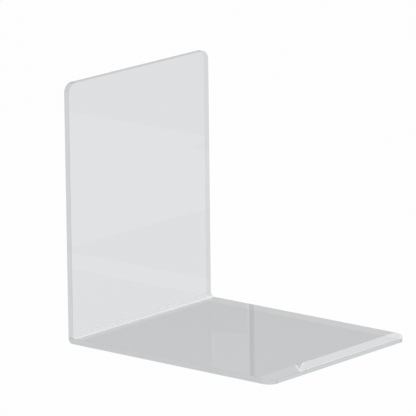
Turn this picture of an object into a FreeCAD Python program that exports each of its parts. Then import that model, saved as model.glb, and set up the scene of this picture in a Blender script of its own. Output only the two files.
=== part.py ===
import FreeCAD, Part
import os
import Sketcher

# A free-standing L-shaped desk panel of clear acrylic.
#
# An upright sheet stands on a base sheet of the same thickness, and a bead of cement fills the
# inside corner. The base's free end is ground to a shallow sloping nose, which carries a thin
# grip strip with a lift tab at its near end.
#
# Frame: the origin is the middle of the footprint, on the desk. The upright stands at the -X
# end, the base runs to +X and the width runs along Y. Lengths are in millimetres.

ORIGIN = -1          # a sketch's own origin and X axis share this index
START = 1            # point 1 of a line or an arc
END = 2              # point 2 of a line or an arc
CENTRE = 3           # point 3 of an arc

SIZES = [
    ("panelWidth", 210.0),       # both sheets, side to side
    ("overallHeight", 260.0),    # desk to the upright's top edge
    ("baseDepth", 256.0),        # upright's outer face to the base's free end
    ("sheetThickness", 6.0),     # stock sheet, used for both
    ("cornerRadius", 10.0),      # the four free corners
    ("heelRadius", 5.0),         # lower outer edge of the base, rounded over
    ("heelLand", 1.0),           # least flat left between the rounded heel and the seam
    ("noseRun", 15.0),           # depth of the sloping nose, measured level
    ("noseThickness", 4.2),      # what the slope leaves at the free end
    ("beadRadius", 5.0),         # hollow face of the cement in the inside corner
    ("stripThickness", 0.5),     # grip strip
    ("stripInset", 0.3),         # strip's edges stand this far inside the nose's edges
    ("stripStart", 44.0),        # near side of the base to the strip's near tip
    ("stripCut", 24.4),          # how far the strip's slanted end runs along the width
    ("tabWidth", 13.9),          # lift tab, along the crease of the nose
    ("tabThickness", 0.9),       # lift tab, folded double
]

HEEL = "(-Sizes.baseDepth / 2)"
NEAR_SIDE = "(-Sizes.panelWidth / 2)"
NOSE_DROP = "(Sizes.sheetThickness - Sizes.noseThickness)"
NOSE_SLOPE = f"sqrt(Sizes.noseRun ^ 2 + {NOSE_DROP} ^ 2)"
NOSE_ANGLE = f"atan2({NOSE_DROP}; Sizes.noseRun)"
STRIP_CREASE_START = "(Sizes.stripStart + Sizes.stripCut)"


def makeSizes(doc):
    """Puts every driving dimension in a sheet, with its alias."""
    sheet = doc.addObject("Spreadsheet::Sheet", "Sizes")
    for row, (alias, value) in enumerate(SIZES, start=1):
        sheet.set(f"A{row}", alias)
        sheet.set(f"B{row}", str(value))
        sheet.setAlias(f"B{row}", alias)
    doc.recompute()
    return sheet


def makeBody(doc, label, position, tilt=None):
    """A body at a position given by three expressions, turned about Y by an expression."""
    body = doc.addObject("PartDesign::Body", label)
    body.Label = label
    if tilt:
        body.Placement = FreeCAD.Placement(FreeCAD.Vector(), FreeCAD.Rotation(FreeCAD.Vector(0, 1, 0), 1))
        body.setExpression("Placement.Rotation.Angle", tilt)
    for axis, expression in zip("xyz", position):
        body.setExpression(f"Placement.Base.{axis}", expression)
    return body


def makeSketch(body, name, planeRole):
    """A sketch on one of the body's own origin planes."""
    sketch = body.newObject("Sketcher::SketchObject", f"{body.Name}_{name}")
    plane = next(f for f in body.Origin.OriginFeatures if f.Role == planeRole)
    sketch.AttachmentSupport = [(plane, "")]
    sketch.MapMode = "FlatFace"
    return sketch


def addLine(sketch, start, end):
    line = Part.LineSegment(FreeCAD.Vector(*start, 0), FreeCAD.Vector(*end, 0))
    return sketch.addGeometry(line)


def addArc(sketch, start, middle, end):
    arc = Part.Arc(*(FreeCAD.Vector(*point, 0) for point in (start, middle, end)))
    return sketch.addGeometry(arc)


def join(sketch, first, firstPoint, second, secondPoint, smooth=False):
    kind = "Tangent" if smooth else "Coincident"
    sketch.addConstraint(Sketcher.Constraint(kind, first, firstPoint, second, secondPoint))


def drive(sketch, name, expression, kind, *where):
    """Adds a dimension that follows an expression on the sheet's values."""
    number = sketch.addConstraint(Sketcher.Constraint(kind, *where))
    sketch.renameConstraint(number, name)
    sketch.setExpression(f"Constraints.{name}", expression)


def finishSketch(doc, sketch):
    doc.recompute()
    if sketch.solve() != 0 or not sketch.FullyConstrained:
        raise RuntimeError(f"{sketch.Name} isn't fully constrained")


def pad(doc, body, sketch, length, reverse=False):
    feature = body.newObject("PartDesign::Pad", f"{body.Name}_pad")
    feature.Profile = sketch
    feature.Reversed = reverse
    feature.setExpression("Length", length)
    doc.recompute()


def makeSheetBlank(doc, body, sheet, length):
    """A sheet lying on XY from the origin along X, with its two far corners rounded."""
    long = sheet.baseDepth
    wide = sheet.panelWidth
    radius = sheet.cornerRadius
    bulge = radius * 0.5 ** 0.5
    sketch = makeSketch(body, "outline", "XY_Plane")
    nearSide = addLine(sketch, (0, 0), (long - radius, 0))
    nearCorner = addArc(sketch, (long - radius, 0),
                        (long - radius + bulge, radius - bulge), (long, radius))
    freeEnd = addLine(sketch, (long, radius), (long, wide - radius))
    farCorner = addArc(sketch, (long, wide - radius),
                       (long - radius + bulge, wide - radius + bulge), (long - radius, wide))
    farSide = addLine(sketch, (long - radius, wide), (0, wide))
    heel = addLine(sketch, (0, wide), (0, 0))
    ring = [nearSide, nearCorner, freeEnd, farCorner, farSide, heel]
    for current, following in zip(ring, ring[1:] + ring[:1]):
        smooth = nearCorner in (current, following) or farCorner in (current, following)
        join(sketch, current, END, following, START, smooth)
    join(sketch, nearSide, START, ORIGIN, START)
    for line in (nearSide, farSide):
        sketch.addConstraint(Sketcher.Constraint("Horizontal", line))
    for line in (freeEnd, heel):
        sketch.addConstraint(Sketcher.Constraint("Vertical", line))
    sketch.addConstraint(Sketcher.Constraint("Equal", nearCorner, farCorner))
    drive(sketch, "length", length, "DistanceX", ORIGIN, START, freeEnd, START, long)
    drive(sketch, "width", "Sizes.panelWidth", "DistanceY", ORIGIN, START, farSide, START, wide)
    drive(sketch, "corner", "Sizes.cornerRadius", "Radius", nearCorner, radius)
    finishSketch(doc, sketch)
    pad(doc, body, sketch, "Sizes.sheetThickness")


def makeBasePlate(doc, sheet):
    """The base: a blank with its lower heel edge rounded over and its free end sloped."""
    body = makeBody(doc, "base_plate", (HEEL, NEAR_SIDE, "0"))
    makeSheetBlank(doc, body, sheet, "Sizes.baseDepth")
    blankVolume = body.Shape.Volume

    end = sheet.baseDepth
    crease = end - sheet.noseRun
    top = sheet.sheetThickness
    low = sheet.noseThickness
    sketch = makeSketch(body, "nose", "XZ_Plane")
    slope = addLine(sketch, (crease, top), (end, low))
    rise = addLine(sketch, (end, low), (end, top))
    flat = addLine(sketch, (end, top), (crease, top))
    join(sketch, slope, END, rise, START)
    join(sketch, rise, END, flat, START)
    join(sketch, flat, END, slope, START)
    sketch.addConstraint(Sketcher.Constraint("Vertical", rise))
    sketch.addConstraint(Sketcher.Constraint("Horizontal", flat))
    drive(sketch, "freeEnd", "Sizes.baseDepth", "DistanceX", ORIGIN, START, rise, START, end)
    drive(sketch, "run", "Sizes.noseRun", "DistanceX", slope, START, slope, END, end - crease)
    drive(sketch, "top", "Sizes.sheetThickness", "DistanceY", ORIGIN, START, slope, START, top)
    drive(sketch, "low", "Sizes.noseThickness", "DistanceY", ORIGIN, START, slope, END, low)
    finishSketch(doc, sketch)
    nose = body.newObject("PartDesign::Pocket", "base_plate_slope")
    nose.Profile = sketch
    nose.Type = "ThroughAll"
    nose.Midplane = True
    doc.recompute()
    if not body.Shape.Volume < blankVolume:
        raise RuntimeError("the nose pocket cut nothing")

    heelEdge = edgeName(nose.Shape, lambda point: point.x + point.z)
    heel = body.newObject("PartDesign::Fillet", "base_plate_heel")
    heel.Base = (nose, [heelEdge])
    heel.setExpression("Radius", "min(Sizes.heelRadius; Sizes.sheetThickness - Sizes.heelLand)")
    doc.recompute()
    return body


def edgeName(shape, distance):
    """The edge whose both ends have the least distance, as the shape names it."""
    def worst(edge):
        return max(distance(vertex.Point) for vertex in edge.Vertexes)
    edges = shape.Edges
    nearest = min(range(len(edges)), key=lambda number: worst(edges[number]))
    return f"Edge{nearest + 1}"


def makeUprightPanel(doc, sheet):
    """The upright: the same blank stood on the base's top face, its outer face over the heel."""
    foot = (f"{HEEL} + Sizes.sheetThickness", NEAR_SIDE, "Sizes.sheetThickness")
    body = makeBody(doc, "upright_panel", foot, "-90 deg")
    makeSheetBlank(doc, body, sheet, "Sizes.overallHeight - Sizes.sheetThickness")
    return body


def makeCornerBead(doc, sheet):
    """Cement in the inside corner, flush with both sides, with a hollow face."""
    corner = (f"{HEEL} + Sizes.sheetThickness", NEAR_SIDE, "Sizes.sheetThickness")
    body = makeBody(doc, "corner_bead", corner)
    reach = sheet.beadRadius
    hollow = reach * (1 - 0.5 ** 0.5)
    sketch = makeSketch(body, "section", "XZ_Plane")
    foot = addLine(sketch, (0, 0), (reach, 0))
    face = addArc(sketch, (reach, 0), (hollow, hollow), (0, reach))
    back = addLine(sketch, (0, reach), (0, 0))
    join(sketch, foot, END, face, END)
    join(sketch, back, START, face, START)
    join(sketch, back, END, foot, START)
    join(sketch, foot, START, ORIGIN, START)
    sketch.addConstraint(Sketcher.Constraint("Horizontal", foot))
    sketch.addConstraint(Sketcher.Constraint("Vertical", back))
    drive(sketch, "foot", "Sizes.beadRadius", "DistanceX", foot, START, foot, END, reach)
    drive(sketch, "back", "Sizes.beadRadius", "DistanceY", back, END, back, START, reach)
    drive(sketch, "centre", "Sizes.beadRadius", "DistanceX", ORIGIN, START, face, CENTRE, reach)
    finishSketch(doc, sketch)
    pad(doc, body, sketch, "Sizes.panelWidth", reverse=True)
    return body


def makeNoseBody(doc, label):
    """A body whose XY plane is the nose's slope: X runs down it from the crease."""
    crease = (f"{HEEL} + Sizes.baseDepth - Sizes.noseRun", NEAR_SIDE, "Sizes.sheetThickness")
    return makeBody(doc, label, crease, NOSE_ANGLE)


def makeNoseStrip(doc, sheet):
    """The grip strip: it follows the plate's far corner, and its near end is cut on a slant."""
    body = makeNoseBody(doc, "nose_strip")
    inset = sheet.stripInset
    down = (sheet.noseRun ** 2 + (sheet.sheetThickness - sheet.noseThickness) ** 2) ** 0.5 - inset
    far = sheet.panelWidth - inset
    radius = sheet.cornerRadius - inset
    bulge = radius * 0.5 ** 0.5
    tip = sheet.stripStart
    start = tip + sheet.stripCut
    sketch = makeSketch(body, "outline", "XY_Plane")
    cut = addLine(sketch, (inset, start), (down, tip))
    noseSide = addLine(sketch, (down, tip), (down, far - radius))
    corner = addArc(sketch, (down, far - radius),
                    (down - radius + bulge, far - radius + bulge), (down - radius, far))
    farSide = addLine(sketch, (down - radius, far), (inset, far))
    creaseSide = addLine(sketch, (inset, far), (inset, start))
    join(sketch, cut, END, noseSide, START)
    join(sketch, noseSide, END, corner, START, smooth=True)
    join(sketch, corner, END, farSide, START, smooth=True)
    join(sketch, farSide, END, creaseSide, START)
    join(sketch, creaseSide, END, cut, START)
    for line in (noseSide, creaseSide):
        sketch.addConstraint(Sketcher.Constraint("Vertical", line))
    sketch.addConstraint(Sketcher.Constraint("Horizontal", farSide))
    drive(sketch, "crease", "Sizes.stripInset", "DistanceX", ORIGIN, START, cut, START, inset)
    drive(sketch, "start", STRIP_CREASE_START, "DistanceY", ORIGIN, START, cut, START, start)
    drive(sketch, "down", f"{NOSE_SLOPE} - Sizes.stripInset", "DistanceX", ORIGIN, START, cut, END, down)
    drive(sketch, "tip", "Sizes.stripStart", "DistanceY", ORIGIN, START, cut, END, tip)
    drive(sketch, "far", "Sizes.panelWidth - Sizes.stripInset", "DistanceY",
          ORIGIN, START, farSide, START, far)
    drive(sketch, "corner", "Sizes.cornerRadius - Sizes.stripInset", "Radius", corner, radius)
    finishSketch(doc, sketch)
    pad(doc, body, sketch, "Sizes.stripThickness")
    return body


def makeLiftTab(doc, sheet):
    """The tab that lifts the strip: a triangle against the strip's slanted end."""
    body = makeNoseBody(doc, "lift_tab")
    inset = sheet.stripInset
    down = (sheet.noseRun ** 2 + (sheet.sheetThickness - sheet.noseThickness) ** 2) ** 0.5 - inset
    tip = sheet.stripStart
    start = tip + sheet.stripCut
    sketch = makeSketch(body, "outline", "XY_Plane")
    seam = addLine(sketch, (inset, start), (down, tip))
    freeEdge = addLine(sketch, (down, tip), (inset, start - sheet.tabWidth))
    creaseSide = addLine(sketch, (inset, start - sheet.tabWidth), (inset, start))
    join(sketch, seam, END, freeEdge, START)
    join(sketch, freeEdge, END, creaseSide, START)
    join(sketch, creaseSide, END, seam, START)
    sketch.addConstraint(Sketcher.Constraint("Vertical", creaseSide))
    drive(sketch, "crease", "Sizes.stripInset", "DistanceX", ORIGIN, START, seam, START, inset)
    drive(sketch, "start", STRIP_CREASE_START, "DistanceY", ORIGIN, START, seam, START, start)
    drive(sketch, "down", f"{NOSE_SLOPE} - Sizes.stripInset", "DistanceX", ORIGIN, START, seam, END, down)
    drive(sketch, "tip", "Sizes.stripStart", "DistanceY", ORIGIN, START, seam, END, tip)
    drive(sketch, "width", "Sizes.tabWidth", "DistanceY",
          creaseSide, START, creaseSide, END, sheet.tabWidth)
    finishSketch(doc, sketch)
    pad(doc, body, sketch, "Sizes.tabThickness")
    return body


def checkAndExport(doc, bodies):
    """Writes each body's STEP file, once every object and every shape is sound."""
    for thing in doc.Objects:
        if "Invalid" in thing.State or "Error" in thing.State:
            raise RuntimeError(f"{thing.Name} failed: {thing.State}")
    for body in bodies:
        if body.Shape.isNull() or not body.Shape.isValid() or len(body.Shape.Solids) != 1:
            raise RuntimeError(f"{body.Label} isn't one valid solid")
    os.makedirs("parts", exist_ok=True)
    for body in bodies:
        body.Shape.exportStep(f"parts/{body.Label}.step")
        print(f"{body.Label}: {body.Shape.Volume:.1f} mm3")


def main():
    doc = FreeCAD.newDocument("DeskPanel")
    sheet = makeSizes(doc)
    bodies = [
        makeBasePlate(doc, sheet),
        makeUprightPanel(doc, sheet),
        makeCornerBead(doc, sheet),
        makeNoseStrip(doc, sheet),
        makeLiftTab(doc, sheet),
    ]
    doc.recompute()
    checkAndExport(doc, bodies)


main()
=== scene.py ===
import math
import bpy
import numpy as np
from mathutils import Matrix, Vector


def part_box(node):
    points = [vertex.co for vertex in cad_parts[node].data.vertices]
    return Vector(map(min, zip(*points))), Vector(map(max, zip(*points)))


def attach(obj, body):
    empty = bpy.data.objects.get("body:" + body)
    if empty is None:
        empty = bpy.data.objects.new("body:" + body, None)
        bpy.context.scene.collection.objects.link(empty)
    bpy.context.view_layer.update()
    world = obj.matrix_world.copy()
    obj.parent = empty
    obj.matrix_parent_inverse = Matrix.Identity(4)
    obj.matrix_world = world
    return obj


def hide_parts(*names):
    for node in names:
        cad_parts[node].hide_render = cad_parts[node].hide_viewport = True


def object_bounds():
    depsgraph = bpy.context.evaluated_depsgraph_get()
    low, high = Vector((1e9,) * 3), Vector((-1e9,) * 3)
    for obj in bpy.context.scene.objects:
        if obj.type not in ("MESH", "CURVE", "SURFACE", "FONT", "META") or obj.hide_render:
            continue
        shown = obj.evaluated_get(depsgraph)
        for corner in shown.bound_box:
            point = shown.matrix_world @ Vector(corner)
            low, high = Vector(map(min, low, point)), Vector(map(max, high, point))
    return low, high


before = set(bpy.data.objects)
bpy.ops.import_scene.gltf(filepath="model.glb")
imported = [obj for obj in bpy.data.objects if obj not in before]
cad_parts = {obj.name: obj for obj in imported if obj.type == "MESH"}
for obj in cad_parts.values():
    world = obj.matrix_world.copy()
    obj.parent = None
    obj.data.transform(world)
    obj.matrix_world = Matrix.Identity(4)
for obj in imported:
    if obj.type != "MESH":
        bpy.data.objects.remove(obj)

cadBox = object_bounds()
mm = 0.001
hair = 0.02 * mm     # bonded faces are kept this far apart
baseLow, baseHigh = (np.array(corner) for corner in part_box("base_plate"))
upLow, upHigh = (np.array(corner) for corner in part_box("upright_panel"))
beadLow, beadHigh = (np.array(corner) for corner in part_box("corner_bead"))
beadReach = beadHigh[2] - beadLow[2]
tabLow, tabHigh = (np.array(corner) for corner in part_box("lift_tab"))
tabWidth = 13.9 * mm     # along the upper edge of the slope


def addNode(tree, kind, options=None, **inputs):
    # i0, i1 and so on name an input by its number, anything else by its name
    node = tree.nodes.new(kind)
    for key, value in (options or {}).items():
        setattr(node, key, value)
    for key, value in inputs.items():
        socket = node.inputs[int(key[1:]) if key[1:].isdigit() else key.replace("_", " ")]
        if isinstance(value, bpy.types.NodeSocket):
            tree.links.new(value, socket)
        else:
            socket.default_value = value
    return node


def maths(tree, operation, first, second=0.0, third=0.0):
    return addNode(tree, "ShaderNodeMath", {"operation": operation}, i0=first, i1=second, i2=third).outputs[0]


def freshMaterial(name):
    material = bpy.data.materials.new(name)
    material.use_nodes = True
    material.node_tree.nodes.clear()
    return material, material.node_tree


def finishMaterial(tree, shader):
    tree.links.new(shader.outputs[0], tree.nodes.new("ShaderNodeOutputMaterial").inputs["Surface"])


# Handling wear, shared by every clear finish: sparse hairlines, soft smudges and a faint swell.
# The scratches are the narrow walls between long thin cells, kept only inside scattered patches.
wearLook = {
    "scratchSets": (((0.4, 0.9, 0.3), (1.0, 0.12, 0.5), 60.0), ((1.1, 0.2, 2.0), (0.15, 1.0, 0.8), 45.0)),
    "scratchWidth": 0.006,
    "patchScale": 22.0,
    "patchCut": 0.62,
    "smudgeFrom": 0.52,
    "smudgeTo": 0.78,
    "swellScale": 6.0,
    "swellStrength": 0.4,
    "swellDepth": 0.4 * mm,
}


def makeWearGroup():
    group = bpy.data.node_groups.new("handlingWear", "ShaderNodeTree")
    for name, kind in (("Vector", "NodeSocketVector"), ("Hairlines", "NodeSocketFloat"),
                       ("Smudge Scale", "NodeSocketFloat"), ("Swell", "NodeSocketFloat")):
        group.interface.new_socket(name, in_out="INPUT", socket_type=kind)
    for name, kind in (("Hairline", "NodeSocketFloat"), ("Smudge", "NodeSocketFloat"),
                       ("Normal", "NodeSocketVector")):
        group.interface.new_socket(name, in_out="OUTPUT", socket_type=kind)
    given = group.nodes.new("NodeGroupInput").outputs
    result = group.nodes.new("NodeGroupOutput").inputs

    def scratchSet(turn, stretch, scale):
        turned = addNode(group, "ShaderNodeMapping", Vector=given["Vector"], Rotation=turn, Scale=stretch)
        cells = addNode(group, "ShaderNodeTexVoronoi", {"feature": "DISTANCE_TO_EDGE"},
                        Vector=turned.outputs[0], Scale=scale)
        return maths(group, "LESS_THAN", cells.outputs["Distance"], wearLook["scratchWidth"])

    lines = maths(group, "MAXIMUM", *(scratchSet(*settings) for settings in wearLook["scratchSets"]))
    patches = addNode(group, "ShaderNodeTexNoise", Vector=given["Vector"], Scale=wearLook["patchScale"],
                      Detail=3.0)
    sparse = maths(group, "GREATER_THAN", patches.outputs[0], wearLook["patchCut"])
    lines = maths(group, "MULTIPLY", maths(group, "MULTIPLY", lines, sparse), given["Hairlines"])
    cloud = addNode(group, "ShaderNodeTexNoise", Vector=given["Vector"], Scale=given["Smudge Scale"],
                    Detail=5.0, Roughness=0.6, Distortion=0.6)
    smudge = addNode(group, "ShaderNodeMapRange", Value=cloud.outputs[0], From_Min=wearLook["smudgeFrom"],
                     From_Max=wearLook["smudgeTo"])
    swell = addNode(group, "ShaderNodeTexNoise", Vector=given["Vector"], Scale=wearLook["swellScale"],
                    Detail=1.0)
    bump = addNode(group, "ShaderNodeBump", Strength=wearLook["swellStrength"],
                   Distance=wearLook["swellDepth"],
                   Height=maths(group, "MULTIPLY", swell.outputs[0], given["Swell"]))
    group.links.new(lines, result["Hairline"])
    group.links.new(smudge.outputs[0], result["Smudge"])
    group.links.new(bump.outputs[0], result["Normal"])
    return group


wearGroup = makeWearGroup()


# Each clear face passes a tinted share of the light, and a front face mirrors the rest by its angle:
# the mirrored share is small head on and rises with about the fifth power of the slant, up to all of it.
mirror = {"headOn": 0.039, "power": 4.85}


def clearFinish(name, look):
    material, tree = freshMaterial(name)
    wear = addNode(tree, "ShaderNodeGroup", {"node_tree": wearGroup},
                   Vector=addNode(tree, "ShaderNodeTexCoord").outputs["Object"], Hairlines=look["hairlines"],
                   Smudge_Scale=look["smudgeScale"], Swell=look["swell"])
    back = addNode(tree, "ShaderNodeNewGeometry").outputs["Backfacing"]
    slant = addNode(tree, "ShaderNodeLayerWeight", Blend=0.5).outputs["Facing"]
    mirrored = maths(tree, "MULTIPLY_ADD", maths(tree, "POWER", slant, mirror["power"]), 1 - mirror["headOn"],
                     mirror["headOn"])
    bare = None
    if "bondLine" in look:
        # where the film is stuck down the face under it neither mirrors nor tints
        (backX, backY), (tipX, tipY) = look["bondLine"]
        across = np.array([backY - tipY, tipX - backX]) / math.hypot(tipX - backX, tipY - backY)
        place = addNode(tree, "ShaderNodeSeparateXYZ",
                        i0=addNode(tree, "ShaderNodeTexCoord").outputs["Object"])
        along = maths(tree, "MULTIPLY_ADD", place.outputs["X"], float(across[0]),
                      float(-(across[0] * backX + across[1] * backY)))
        past = maths(tree, "MULTIPLY_ADD", place.outputs["Y"], float(across[1]), along)
        bare = maths(tree, "LESS_THAN", past, 0.0)
        mirrored = maths(tree, "MULTIPLY", mirrored, bare)
    shine = maths(tree, "MULTIPLY", mirrored, maths(tree, "SUBTRACT", 1.0, back))
    scratched = maths(tree, "MULTIPLY", wear.outputs["Hairline"], look["scratchShine"])
    shine = maths(tree, "MAXIMUM", shine, scratched)
    # the front tint is the sheet's own on its broad faces; on the sheets' edges, ends, arrises, heel and nose
    # and on the base's top it is painted shade, and on the upright's top end painted light; the back tint,
    # for faces seen from inside the sheet, is painted light and shade
    tintAndShade = addNode(tree, "ShaderNodeMix", {"data_type": "RGBA"}, i0=back, i6=(*look["tintAndShade"], 1.0),
                   i7=(*look.get("backPaintedLightAndShade", look["tintAndShade"]), 1.0))
    dim = maths(tree, "MULTIPLY_ADD", wear.outputs["Smudge"], -look["haze"], 1.0)
    passed = addNode(tree, "ShaderNodeMix", {"data_type": "RGBA", "blend_type": "MULTIPLY"},
                     i0=1.0, i6=tintAndShade.outputs[2], i7=dim)
    if bare is not None:
        passed = addNode(tree, "ShaderNodeMix", {"data_type": "RGBA"}, i0=bare, i6=(1.0, 1.0, 1.0, 1.0),
                         i7=passed.outputs[2])
    through = addNode(tree, "ShaderNodeBsdfTransparent", Color=passed.outputs[2])
    rough = maths(tree, "MULTIPLY_ADD", wear.outputs["Smudge"], look["smudgeRough"], look["gloss"])
    rough = maths(tree, "MULTIPLY_ADD", wear.outputs["Hairline"], look["scratchRough"], rough)
    gloss = addNode(tree, "ShaderNodeBsdfPrincipled", Base_Color=(1.0, 1.0, 1.0, 1.0), Metallic=1.0,
                    Roughness=rough, Normal=wear.outputs["Normal"])
    surface = addNode(tree, "ShaderNodeMixShader", i0=shine, i1=through.outputs[0], i2=gloss.outputs[0])
    finishMaterial(tree, surface)
    return material


def bondedFinish(name, look):
    # a face wetted by cement neither mirrors nor tints, and only its few trapped bubbles show
    material, tree = freshMaterial(name)
    spots = addNode(tree, "ShaderNodeTexVoronoi", Scale=look["bubbleScale"],
                    Vector=addNode(tree, "ShaderNodeTexCoord").outputs["Object"])
    bubble = addNode(tree, "ShaderNodeMapRange", Value=spots.outputs["Distance"], From_Min=look["bubbleSize"],
                     From_Max=0.0, To_Max=look["bubbleShade"])
    passed = maths(tree, "SUBTRACT", 1.0, bubble.outputs[0])
    finishMaterial(tree, addNode(tree, "ShaderNodeBsdfTransparent", Color=passed))
    return material


def paleFinish(name, look):
    # a milky film: part lets light through, part scatters it
    material, tree = freshMaterial(name)
    wear = addNode(tree, "ShaderNodeGroup", {"node_tree": wearGroup},
                   Vector=addNode(tree, "ShaderNodeTexCoord").outputs["Object"], Hairlines=look["hairlines"],
                   Smudge_Scale=look["smudgeScale"], Swell=look["swell"])
    shade = addNode(tree, "ShaderNodeMix", {"data_type": "RGBA"}, i0=wear.outputs["Smudge"],
                    i6=(*look["colour"], 1.0), i7=(*look["worn"], 1.0))
    rough = maths(tree, "MULTIPLY_ADD", wear.outputs["Smudge"], look["smudgeRough"], look["roughness"])
    milk = addNode(tree, "ShaderNodeBsdfPrincipled", Base_Color=shade.outputs[2], Roughness=rough,
                   Normal=wear.outputs["Normal"])
    through = addNode(tree, "ShaderNodeBsdfTransparent", Color=(*look["clear"], 1.0))
    share = maths(tree, "MULTIPLY_ADD", wear.outputs["Smudge"], look["smudgeMilk"], look["milk"])
    surface = addNode(tree, "ShaderNodeMixShader", i0=share, i1=through.outputs[0], i2=milk.outputs[0])
    finishMaterial(tree, surface)
    return material


polished = {"tintAndShade": (0.8670, 0.8715, 0.8805), "hairlines": 0.5, "smudgeScale": 18.0, "swell": 0.15,
            "gloss": 0.012, "haze": 0.006, "smudgeRough": 0.02, "scratchShine": 0.05, "scratchRough": 0.25}
sawn = {**polished, "hairlines": 0.8, "smudgeScale": 60.0, "swell": 0.5, "gloss": 0.06, "haze": 0.05}
tabTip = (tabHigh[0], tabLow[1])
tabBack = (tabLow[0], tabHigh[1] - tabWidth)

clearFace = clearFinish("clearFace", polished)
# the base's top and its nose get darker tints than the upright's faces: painted shade that darkens the base
baseTopPaintedShade = clearFinish("baseTopPaintedShade", {**polished, "tintAndShade": (0.8080, 0.8120, 0.8205)})
noseFacePaintedShade = clearFinish("noseFacePaintedShade", {**polished, "tintAndShade": (0.8450, 0.8495, 0.8580),
                                    "bondLine": (tabBack, tabTip)})
# edges, ends, heel and arrises: the darker front tints are painted shade, the lighter back tints of these
# faces seen through the sheet are painted light, and the upright's top end's pale tint is painted light
baseEdgePaintedShade = clearFinish("baseEdgePaintedShade", {**sawn, "tintAndShade": (0.655, 0.665, 0.675), "backPaintedLightAndShade": (0.925, 0.940, 0.940)})
baseEndPaintedShade = clearFinish("baseEndPaintedShade", {**sawn, "tintAndShade": (0.700, 0.715, 0.725), "backPaintedLightAndShade": (0.960, 0.970, 0.970)})
heelFacePaintedShade = clearFinish("heelFacePaintedShade", {**sawn, "tintAndShade": (0.655, 0.665, 0.675), "backPaintedLightAndShade": (0.880, 0.888, 0.892)})
arris = {**sawn, "tintAndShade": (0.60, 0.62, 0.62), "backPaintedLightAndShade": (0.80, 0.82, 0.82), "gloss": 0.15}
baseArrisPaintedShade = clearFinish("baseArrisPaintedShade", arris)
uprightEdgePaintedShade = clearFinish("uprightEdgePaintedShade", {**sawn, "tintAndShade": (0.715, 0.740, 0.745),
                                          "backPaintedLightAndShade": (0.795, 0.805, 0.810)})
uprightEndPaintedLight = clearFinish("uprightEndPaintedLight", {**sawn, "tintAndShade": (0.90, 0.91, 0.915)})
uprightArrisPaintedShade = clearFinish("uprightArrisPaintedShade", arris)
pale = {"clear": (1.0, 1.0, 1.0), "hairlines": 0.0, "swell": 0.2, "smudgeRough": 0.2, "smudgeMilk": 0.05}
cement = paleFinish("cement", {**pale, "colour": (0.94, 0.95, 0.97), "worn": (0.90, 0.91, 0.93),
                               "roughness": 0.24, "milk": 0.26, "clear": (0.900, 0.906, 0.915),
                               "smudgeScale": 200.0, "swell": 0.0})
bonded = bondedFinish("bonded", {"bubbleScale": 900.0, "bubbleSize": 0.12, "bubbleShade": 0.03})
filmWall = clearFinish("filmWall", {**sawn, "tintAndShade": (0.925, 0.930, 0.935)})
filmPolish = {**polished, "gloss": 0.12, "smudgeScale": 90.0}
stripFace = clearFinish("stripFace", {**filmPolish, "tintAndShade": (0.985, 0.988, 0.992)})
stripEdge = paleFinish("stripEdge", {**pale, "colour": (0.92, 0.93, 0.95), "worn": (0.8, 0.82, 0.84),
                                     "roughness": 0.4, "milk": 0.10, "smudgeScale": 120.0})
tabFace = clearFinish("tabFace", {**filmPolish, "tintAndShade": (0.815, 0.82, 0.825)})
tabEdge = paleFinish("tabEdge", {**pale, "colour": (0.93, 0.94, 0.96), "worn": (0.85, 0.86, 0.88),
                                 "roughness": 0.45, "milk": 0.37, "smudgeScale": 150.0})
print("finishes made")


# The finishes that a piece may carry, and the number each has in the piece's list
sheetKinds = {"broad": 0, "edge": 1, "bonded": 2, "nose": 3, "end": 4, "arris": 5, "top": 6, "heel": 7}
beadKinds = {"face": 0, "bonded": 1}
filmKinds = {"face": 0, "rim": 1, "bonded": 2, "wall": 3}
creaseAngle = math.radians(35)


def meshPiece(name, points, faces, smooth, kinds, materials, node):
    mesh = bpy.data.meshes.new(name)
    mesh.from_pydata(points.tolist(), [], faces)
    for material in materials:
        mesh.materials.append(material)
    # creases first, as they clear the flat faces: a curve's end mustn't lean on its flat neighbour
    mesh.set_sharp_from_angle(angle=creaseAngle)
    mesh.polygons.foreach_set("use_smooth", np.asarray(smooth, dtype=bool))
    mesh.polygons.foreach_set("material_index", np.asarray(kinds, dtype=np.int32))
    mesh.update()
    piece = bpy.data.objects.new(name, mesh)
    bpy.context.collection.objects.link(piece)
    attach(piece, "root")
    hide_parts(node)
    return piece


steps = {"ease": 5, "heel": 15, "heelSkip": 3, "corner": 20, "middle": 9, "tip": 17}
slack = 1e-6           # lengths closer than this are taken as equal


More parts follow.
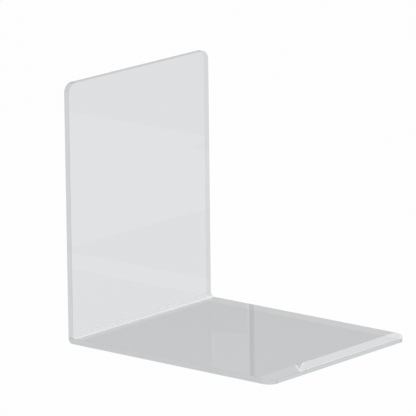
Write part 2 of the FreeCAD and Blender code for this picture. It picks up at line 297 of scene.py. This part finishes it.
# Both sheets are a section loop carried along the length. At each station the section is a
# rectangle with eased corners. Its half width and its lower and upper faces are functions of the
# distance along: the half width follows a circle at the free corners, the lower face follows a
# circle at the heel, and the upper face falls in a straight line over the nose. At an eased end
# the whole section draws in along a quarter circle. The two end faces are fans round a middle point.
def sheetPiece(name, node, sheet, place, materials):
    length, half, thick = sheet["length"], sheet["halfWidth"], sheet["thickness"]
    corner, ease, heel = sheet["corner"], sheet["ease"], sheet["heel"]
    crease = length - sheet["noseRun"]
    quarter = np.linspace(0.0, math.pi / 2, steps["ease"])
    drawIn = ease * (1 - np.cos(quarter))
    runIn = ease * (1 - np.sin(quarter))
    if heel:
        heelTurn = np.linspace(0.0, math.pi / 2, steps["heel"])[steps["heelSkip"]:]
        start = np.concatenate([runIn[::-1], heel * (1 - np.cos(heelTurn))])
        startIn = np.concatenate([drawIn[::-1], np.zeros(heelTurn.size)])
    else:
        start, startIn = np.zeros(1), np.zeros(1)
    cornerTurn = np.linspace(0.0, math.asin(1 - ease / corner), steps["corner"])
    rounded = length - corner + corner * np.sin(cornerTurn)
    middle = np.unique(np.concatenate([np.array(sheet["stations"]),
                                       np.linspace(start[-1], rounded[0], steps["middle"])[1:-1],
                                       [crease] if sheet["noseRun"] else []]))
    middle = middle[(middle > start[-1] + slack) & (middle < rounded[0] - slack)]
    along = np.concatenate([start, middle, rounded, length - runIn[1:]])
    drawn = np.concatenate([startIn, np.zeros(middle.size + rounded.size), drawIn[1:]])
    beyond = np.clip(along - (length - corner), 0, None)
    wide = half - corner + np.sqrt(np.clip((corner - drawn) ** 2 - beyond ** 2, 0, None))
    wide = np.where(beyond > 0, wide, half - drawn)
    low = heel - np.sqrt(np.clip(heel ** 2 - np.clip(heel - along, 0, None) ** 2, 0, None)) + drawn
    fall = (thick - sheet["noseThickness"]) / sheet["noseRun"] if sheet["noseRun"] else 0.0
    high = thick - np.clip(along - crease, 0, None) * fall - drawn
    soft = np.clip(ease - drawn, 0.1 * slack, None)
    loopY, loopZ = [], []
    for turn, (sideY, sideZ) in enumerate(((1, -1), (1, 1), (-1, 1), (-1, -1))):
        angle = quarter + (turn - 1) * math.pi / 2
        middleZ = high - soft if sideZ > 0 else low + soft
        loopY.append(sideY * (wide - soft)[:, None] + soft[:, None] * np.cos(angle))
        loopZ.append(middleZ[:, None] + soft[:, None] * np.sin(angle))
    y = np.concatenate(loopY, axis=1)
    z = np.concatenate(loopZ, axis=1)
    rows, columns = y.shape
    grid = np.stack([np.repeat(along[:, None], columns, axis=1), y, z], axis=-1).reshape(-1, 3)
    number = np.arange(rows * columns).reshape(rows, columns)
    beside = np.roll(number, -1, axis=1)
    quads = np.stack([number[:-1], beside[:-1], beside[1:], number[1:]], axis=-1).reshape(-1, 4)

    over, under = 2 * quarter.size - 1, 4 * quarter.size - 1     # the two broad spans of the loop
    eased = (drawn[:-1] > 0) | (drawn[1:] > 0)
    onHeel = along[1:] <= heel + slack
    kind = np.full((rows - 1, columns), sheetKinds["edge"])
    kind[along[:-1] >= length - corner * sheet["endShare"] - slack, :] = sheetKinds["end"]
    kind[:, over] = sheetKinds[sheet["overFace"]]
    kind[:, under] = sheetKinds["broad"]
    kind[onHeel, under] = sheetKinds["heel"]
    if sheet["noseRun"]:
        kind[along[:-1] >= crease - slack, over] = sheetKinds["nose"]
    onArc = np.arange(columns) % quarter.size != quarter.size - 1
    kind[:, onArc] = sheetKinds["arris"]
    kind[eased, :] = sheetKinds["arris"]
    middles = (along[:-1] + along[1:]) / 2
    bond = sheet["bond"]
    kind[(middles < bond["to"]) & ~eased, over if bond["side"] == "over" else under] = sheetKinds["bonded"]
    smooth = np.ones((rows - 1, columns), dtype=bool)
    smooth[:, over] = False
    smooth[~onHeel, under] = False
    smooth[eased, :] = True
    poles = np.stack([grid[number[0]].mean(axis=0), grid[number[-1]].mean(axis=0)])
    first, last = number[0], number[-1]
    startCap = np.stack([np.roll(first, -1), first, np.full(columns, rows * columns)], axis=-1)
    endCap = np.stack([last, np.roll(last, -1), np.full(columns, rows * columns + 1)], axis=-1)
    capKind = np.concatenate([np.full(columns, sheetKinds["heel" if heel else "bonded"]),
                              np.full(columns, sheetKinds["end"])])
    return meshPiece(name, place(np.concatenate([grid, poles])),
                     quads.tolist() + startCap.tolist() + endCap.tolist(),
                     np.concatenate([smooth.reshape(-1), np.zeros(2 * columns, dtype=bool)]),
                     np.concatenate([kind.reshape(-1), capKind]), materials, node)


baseSheet = {
    "length": baseHigh[0] - baseLow[0],
    "halfWidth": (baseHigh[1] - baseLow[1]) / 2,
    "thickness": baseHigh[2] - baseLow[2],
    "corner": 10.0 * mm,
    "ease": 0.2 * mm,
    "heel": 5.0 * mm,
    "noseRun": 15.0 * mm,
    "noseThickness": 4.2 * mm,
    "stations": [beadLow[0] - baseLow[0], beadHigh[0] - baseLow[0]],
    "bond": {"side": "over", "to": beadHigh[0] - baseLow[0]},
    "overFace": "top",
    "endShare": 1.0,           # how much of each rounded corner has the end's finish, with its painted light and shade
}
uprightSheet = {
    "length": upHigh[2] - upLow[2] - hair,
    "halfWidth": (upHigh[1] - upLow[1]) / 2,
    "thickness": upHigh[0] - upLow[0],
    "corner": baseSheet["corner"],
    "ease": baseSheet["ease"],
    "heel": 0.0,
    "noseRun": 0.0,
    "noseThickness": 0.0,
    "stations": [beadReach],
    "bond": {"side": "under", "to": beadReach},
    "overFace": "broad",
    "endShare": 0.03,
}
sheetPiece("basePlate", "base_plate", baseSheet,
           lambda points: points + np.array([baseLow[0], (baseLow[1] + baseHigh[1]) / 2, baseLow[2]]),
           [clearFace, baseEdgePaintedShade, bonded, noseFacePaintedShade, baseEndPaintedShade, baseArrisPaintedShade, baseTopPaintedShade, heelFacePaintedShade])
sheetPiece("uprightPanel", "upright_panel", uprightSheet,
           lambda points: np.stack([upHigh[0] - points[:, 2], points[:, 1] + (upLow[1] + upHigh[1]) / 2,
                                    upLow[2] + hair + points[:, 0]], axis=-1),
           [clearFace, uprightEdgePaintedShade, bonded, noseFacePaintedShade, uprightEndPaintedLight, uprightArrisPaintedShade])
print("sheets made")


# The bead's section is a square corner with a hollow quarter circle for its face. It is carried
# along the width, and its radius is less by up to a few thousandths, by the sum of two sine waves.
def beadPiece(bead):
    across = np.linspace(beadLow[1], beadHigh[1], bead["steps"])
    wander = (2 + np.sin(across * bead["slowWaves"]) + np.sin(across * bead["fastWaves"] + 1.0)) / 4
    radius = (beadReach - hair) * (1 - bead["wander"] * wander)
    turn = np.linspace(0.0, math.pi / 2, bead["turns"])
    x = hair + radius[:, None] * (1 - np.sin(turn))
    z = hair + radius[:, None] * (1 - np.cos(turn))
    x = np.concatenate([np.full((across.size, 1), hair), x], axis=1) + beadLow[0]
    z = np.concatenate([np.full((across.size, 1), hair), z], axis=1) + beadLow[2]
    rows, columns = x.shape
    points = np.stack([x, np.repeat(across[:, None], columns, axis=1), z], axis=-1).reshape(-1, 3)
    number = np.arange(rows * columns).reshape(rows, columns)
    beside = np.roll(number, -1, axis=1)
    quads = np.stack([number[:-1], number[1:], beside[1:], beside[:-1]], axis=-1)
    hollow = np.zeros((rows - 1, columns), dtype=bool)
    hollow[:, 1:-1] = True
    nearCap = np.stack([np.full(columns - 2, number[0, 0]), number[0, 1:-1], number[0, 2:]], axis=-1)
    farCap = np.stack([np.full(columns - 2, number[-1, 0]), number[-1, 2:], number[-1, 1:-1]], axis=-1)
    ends = 2 * (columns - 2)
    return meshPiece("cementBead", points, quads.reshape(-1, 4).tolist() + nearCap.tolist() + farCap.tolist(),
                     np.concatenate([hollow.reshape(-1), np.zeros(ends, dtype=bool)]),
                     np.concatenate([np.where(hollow, beadKinds["face"], beadKinds["bonded"]).reshape(-1),
                                     np.full(ends, beadKinds["face"])]),
                     [cement, bonded], "corner_bead")


beadPiece({"steps": 120, "turns": 25, "wander": 0.004, "slowWaves": 60.0, "fastWaves": 162.0})
print("bead made")


# A film piece is its outline drawn in by a few steps as it rises off the slope, closed below and above.
# Each step is how far it is drawn in, and its height. A corner moves in along its mitre, which is the
# sum of its two sides' outward normals over one plus their product.
def filmPiece(name, node, outline, rise, milkySides, otherSides, materials):
    def outward(start, end):
        run = end - start
        return np.stack([run[:, 1], -run[:, 0]], axis=-1) / np.linalg.norm(run, axis=1)[:, None]

    count = len(outline)
    incoming = outward(np.roll(outline, 1, axis=0), outline)
    leaving = outward(outline, np.roll(outline, -1, axis=0))
    mitre = (incoming + leaving) / (1 + (incoming * leaving).sum(axis=1))[:, None]
    rings = [np.concatenate([outline - mitre * drawIn, np.full((count, 1), height)], axis=1)
             for drawIn, height in rise]
    number = np.arange(len(rise) * count).reshape(len(rise), count)
    beside = np.roll(number, -1, axis=1)
    quads = np.stack([number[:-1], beside[:-1], beside[1:], number[1:]], axis=-1)
    kinds = np.full((len(rise) - 1, count), filmKinds[otherSides])
    kinds[:, milkySides] = filmKinds["rim"]
    faces = quads.reshape(-1, 4).tolist() + [number[0][::-1].tolist(), number[-1].tolist()]
    kinds = np.concatenate([kinds.reshape(-1), [filmKinds["bonded"], filmKinds["face"]]])
    return meshPiece(name, ontoSlope(np.concatenate(rings)), faces, np.zeros(len(faces), dtype=bool), kinds,
                     materials, node)


slopeFall = (baseSheet["thickness"] - baseSheet["noseThickness"]) / baseSheet["noseRun"]
slopeAngle = math.atan(slopeFall)
creasePoint = np.array([baseHigh[0] - baseSheet["noseRun"], baseLow[1], baseHigh[2]])


def ontoSlope(points):
    # first column runs down the slope from the crease, second across from the near side, third off it
    down, across, off = points.T
    return creasePoint + np.stack([down * math.cos(slopeAngle) + off * math.sin(slopeAngle), across,
                                   off * math.cos(slopeAngle) - down * math.sin(slopeAngle)], axis=-1)


film = {
    "inset": 0.3 * mm,
    "thickness": 0.5 * mm,
    "tip": 44.0 * mm,          # near side to the strip's near tip
    "cut": 24.4 * mm,          # the slanted end's run along the width
    "tabThickness": 0.9 * mm,
}
slopeLength = math.hypot(baseSheet["noseRun"], baseSheet["thickness"] - baseSheet["noseThickness"])
down = slopeLength - film["inset"]
far = 2 * baseSheet["halfWidth"] - film["inset"]
tipRadius = baseSheet["corner"] - film["inset"]
turn = np.linspace(0.0, math.pi / 2, steps["tip"])
cornerLine = np.stack([down - tipRadius + tipRadius * np.cos(turn),
                       far - tipRadius + tipRadius * np.sin(turn)], axis=-1)
cutBack = film["tip"] + film["cut"]
stripOutline = np.concatenate([[[down, film["tip"]]], cornerLine,
                               [[film["inset"], far], [film["inset"], cutBack]]])
# a side's number is its first corner's
creaseSide, farSide = len(stripOutline) - 2, len(stripOutline) - 3
thick = film["thickness"]
filmPiece("gripStrip", "nose_strip", stripOutline,
          [(0.0, hair), (0.0, 0.6 * thick), (0.06 * mm, 0.85 * thick), (0.2 * mm, thick)],
          [creaseSide, farSide], "wall", [stripFace, stripEdge, bonded, filmWall])
tabOutline = np.array([[down, film["tip"]], [film["inset"], cutBack], [film["inset"], cutBack - tabWidth]])
freeSide = 2
thick = film["tabThickness"]
filmPiece("liftTab", "lift_tab", tabOutline,
          [(0.05 * mm, hair), (0.02 * mm, 0.3 * thick), (0.02 * mm, 0.7 * thick), (0.1 * mm, 0.9 * thick),
           (0.8 * mm, thick)],
          [freeSide], "bonded", [tabFace, tabEdge, bonded])
print("strip and tab made")


def glow(name, strength):
    material, tree = freshMaterial(name)
    finishMaterial(tree, addNode(tree, "ShaderNodeEmission", Color=(1.0, 1.0, 1.0, 1.0), Strength=strength))
    return material


def veil(name, share):
    material, tree = freshMaterial(name)
    finishMaterial(tree, addNode(tree, "ShaderNodeBsdfTransparent", Color=(share, share, share, 1.0)))
    return material


def stageCard(name, points, material, mirroredOnly=True):
    # a flat card beside the set; unless it is the floor, only mirrored rays meet it
    mesh = bpy.data.meshes.new(name)
    mesh.from_pydata(points, [], [tuple(range(len(points)))])
    mesh.materials.append(material)
    cardObject = bpy.data.objects.new(name, mesh)
    bpy.context.collection.objects.link(cardObject)
    if mirroredOnly:
        for ray in ("camera", "diffuse", "shadow", "transmission", "volume_scatter"):
            setattr(cardObject, f"visible_{ray}", False)


floor = {"reach": 8.0, "height": -0.0002, "glow": 0.984, "paint": 0.005}
floorMaterial, tree = freshMaterial("paleFloor")
finishMaterial(tree, addNode(tree, "ShaderNodeBsdfPrincipled", Base_Color=(floor["paint"],) * 3 + (1.0,),
                             Roughness=1.0, Specular_IOR_Level=0.0, Emission_Color=(1.0, 1.0, 1.0, 1.0),
                             Emission_Strength=floor["glow"]))
stageCard("floor", [(x * floor["reach"], y * floor["reach"], floor["height"])
                    for x, y in ((-1, -1), (1, -1), (1, 1), (-1, 1))], floorMaterial, mirroredOnly=False)

cards = {"grey": 0.57, "veil": 0.76}
greyCard = glow("greyCard", cards["grey"])
veilCard = veil("veilCard", cards["veil"])
blackCard = glow("blackCard", 0.0)
# A second panel like this one stands beside it, out of view, and only mirrored rays meet it
second = {"base": 0.157, "upright": 0.1725, "far": 0.60, "lift": 0.007, "top": 0.40}
outer, inner, front, sheetTop = baseLow[0], upHigh[0], baseHigh[0], baseHigh[2]
stageCard("lowCard", [(outer, second["base"], sheetTop), (front, second["base"], sheetTop),
                      (front, second["far"], sheetTop), (outer, second["far"], sheetTop)], greyCard)
stageCard("sideVeil", [(inner, second["upright"], second["lift"]), (inner, second["far"], second["lift"]),
                       (inner, second["far"], second["top"]), (inner, second["upright"], second["top"])],
          veilCard)
stageCard("darkPost", [(outer, second["upright"], second["lift"]), (inner, second["upright"], second["lift"]),
                       (inner, second["upright"], second["top"]), (outer, second["upright"], second["top"])],
          blackCard)

# the darker end of the floor, and a narrow gap between two things in the room
darkFloor = {"near": 0.62, "step": (0.34, 0.36), "beyond": 0.68, "right": (3.5, 0.70), "left": -1.0,
             "far": 5.0, "height": 0.004}
stageCard("farCard", [(x, y, darkFloor["height"]) for x, y in (
    (darkFloor["left"], darkFloor["near"]), (darkFloor["step"][0], darkFloor["near"]),
    (darkFloor["step"][1], darkFloor["beyond"]), darkFloor["right"],
    (darkFloor["right"][0], darkFloor["far"]), (darkFloor["left"], darkFloor["far"]))], greyCard)
gap = {"left": (-1.99, 2.41), "right": (-2.05, 2.39), "foot": 0.01, "head": 0.83}
stageCard("gapVeil", [(*gap["left"], gap["foot"]), (*gap["right"], gap["foot"]), (*gap["right"], gap["head"]),
                      (*gap["left"], gap["head"])], veilCard)


def softbox(name, place, aim, size, watts):
    data = bpy.data.lights.new(name, "AREA")
    data.shape = "RECTANGLE"
    data.size, data.size_y = size
    data.energy = watts
    lamp = bpy.data.objects.new(name, data)
    bpy.context.collection.objects.link(lamp)
    facing = (Vector(aim) - Vector(place)).to_track_quat("-Z", "Y")
    lamp.matrix_world = Matrix.Translation(place) @ facing.to_matrix().to_4x4()


softbox("topSoftbox", place=(0.0, 0.0, 2.2), aim=(0, 0, 0), size=(2.4, 2.4), watts=30.0)
softbox("frontSoftbox", place=(0.4, -2.2, 1.4), aim=(0, 0, 0.1), size=(1.6, 1.2), watts=14.0)
softbox("backStrip", place=(-0.12, 3.69, 3.37), aim=(-0.12, 0, 0), size=(0.6, 0.8), watts=14.0)

# the room: pale to the eye, and for mirrored rays grey low down, darker above that, bright overhead
room = [(0.0, 0.31), (0.30, 0.31), (0.40, 0.13), (0.55, 0.20), (0.90, 0.60)]
world = bpy.data.worlds.new("studio")
bpy.context.scene.world = world
world.use_nodes = True
tree = world.node_tree
tree.nodes.clear()
toward = addNode(tree, "ShaderNodeTexCoord").outputs["Generated"]
ramp = addNode(tree, "ShaderNodeValToRGB", i0=addNode(tree, "ShaderNodeSeparateXYZ", i0=toward).outputs["Z"])
stops = ramp.color_ramp.elements
for index, (height, level) in enumerate(room):
    stop = stops[index] if index < 2 else stops.new(height)
    stop.position = height
    stop.color = (level, level, level, 1.0)
seen = addNode(tree, "ShaderNodeLightPath").outputs["Is Camera Ray"]
paleRoom = 0.991     # what the camera sees behind the floor
shown = addNode(tree, "ShaderNodeMix", {"data_type": "RGBA"}, i0=seen, i6=ramp.outputs[0],
                i7=(paleRoom, paleRoom, paleRoom, 1.0))
background = addNode(tree, "ShaderNodeBackground", Color=shown.outputs[2], Strength=1.0)
tree.links.new(background.outputs[0], tree.nodes.new("ShaderNodeOutputWorld").inputs["Surface"])

lens = {
    "azimuth": 49.827,      # degrees round from +X towards -Y
    "elevation": 13.355,
    "roll": -0.662,
    "distance": 4.856,
    "length": 431.9,
    "aim": (-0.0217, -0.0169, 0.0049),   # from the middle of the CAD box
}
azimuth, elevation, roll = (math.radians(lens[turned]) for turned in ("azimuth", "elevation", "roll"))
back = Vector((math.cos(elevation) * math.cos(azimuth), -math.cos(elevation) * math.sin(azimuth),
               math.sin(elevation)))
level = (-back).cross(Vector((0, 0, 1))).normalized()
upright = level.cross(-back)
right = math.cos(roll) * level + math.sin(roll) * upright
top = -math.sin(roll) * level + math.cos(roll) * upright
place = (cadBox[0] + cadBox[1]) / 2 + Vector(lens["aim"]) + back * lens["distance"]
cameraData = bpy.data.cameras.new("camera")
cameraData.sensor_width = 36.0
cameraData.lens = lens["length"]
cameraData.clip_end = 60.0
camera = bpy.data.objects.new("camera", cameraData)
bpy.context.collection.objects.link(camera)
camera.matrix_world = Matrix([[right[axis], top[axis], back[axis], place[axis]] for axis in range(3)]
                             + [[0, 0, 0, 1]])
bpy.context.scene.camera = camera
bpy.context.scene.view_settings.view_transform = "Standard"
print("stage set")
